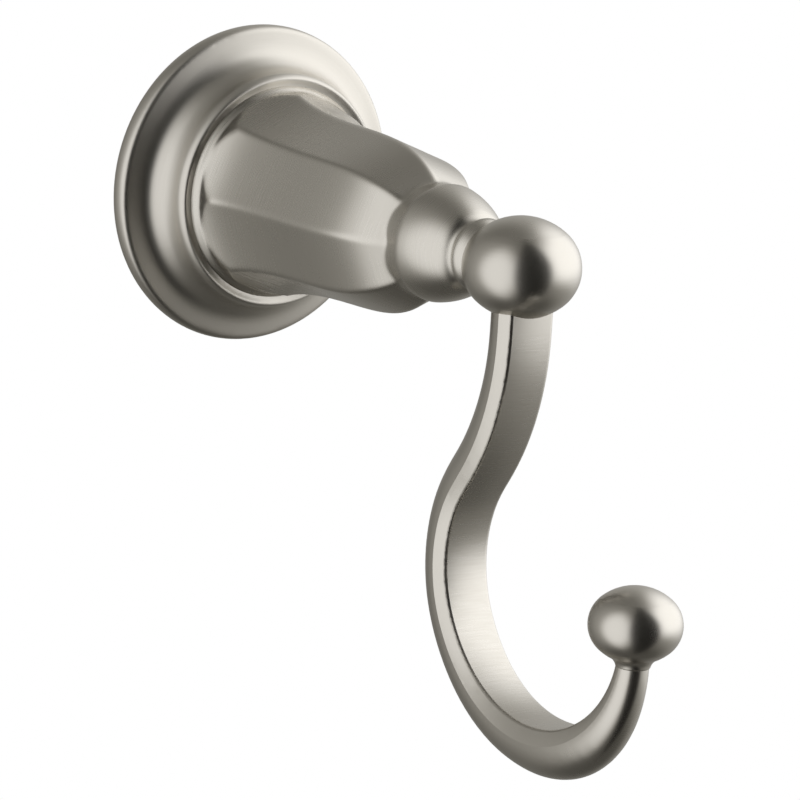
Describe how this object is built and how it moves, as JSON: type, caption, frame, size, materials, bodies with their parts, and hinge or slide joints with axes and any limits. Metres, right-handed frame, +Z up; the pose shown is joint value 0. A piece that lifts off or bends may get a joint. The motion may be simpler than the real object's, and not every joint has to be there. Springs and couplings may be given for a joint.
{
  "type": "wall hook",
  "caption": "Wall hook with a round rosette, a faceted tapering post and a ball-topped arm that sweeps into a J ending in a knob, for hanging a robe or towel.",
  "frame": {"origin": "middle of the rosette's back, in the wall plane, which is also the middle of the bracket's two screw holes", "axes": "+Z up, +Y into the wall, -Y out of the wall along the post, +X to the right for someone who faces the wall"},
  "size_m": [0.0636, 0.1486, 0.1281],
  "materials": {
    "satin_nickel": "satin nickel plate",
    "satin_nickel_arm": "satin nickel plate, brushed across the strap",
    "bracket_steel": "zinc plate",
    "screw_steel": "plain zinc plate"
  },
  "bodies": {
    "root": {"rosette": "satin_nickel", "post": "satin_nickel", "hook_arm": "satin_nickel_arm", "wall_bracket": "bracket_steel", "set_screw": "screw_steel", "tie_screw": "screw_steel", "lock_washer": "screw_steel"}
  },
  "joints": []
}
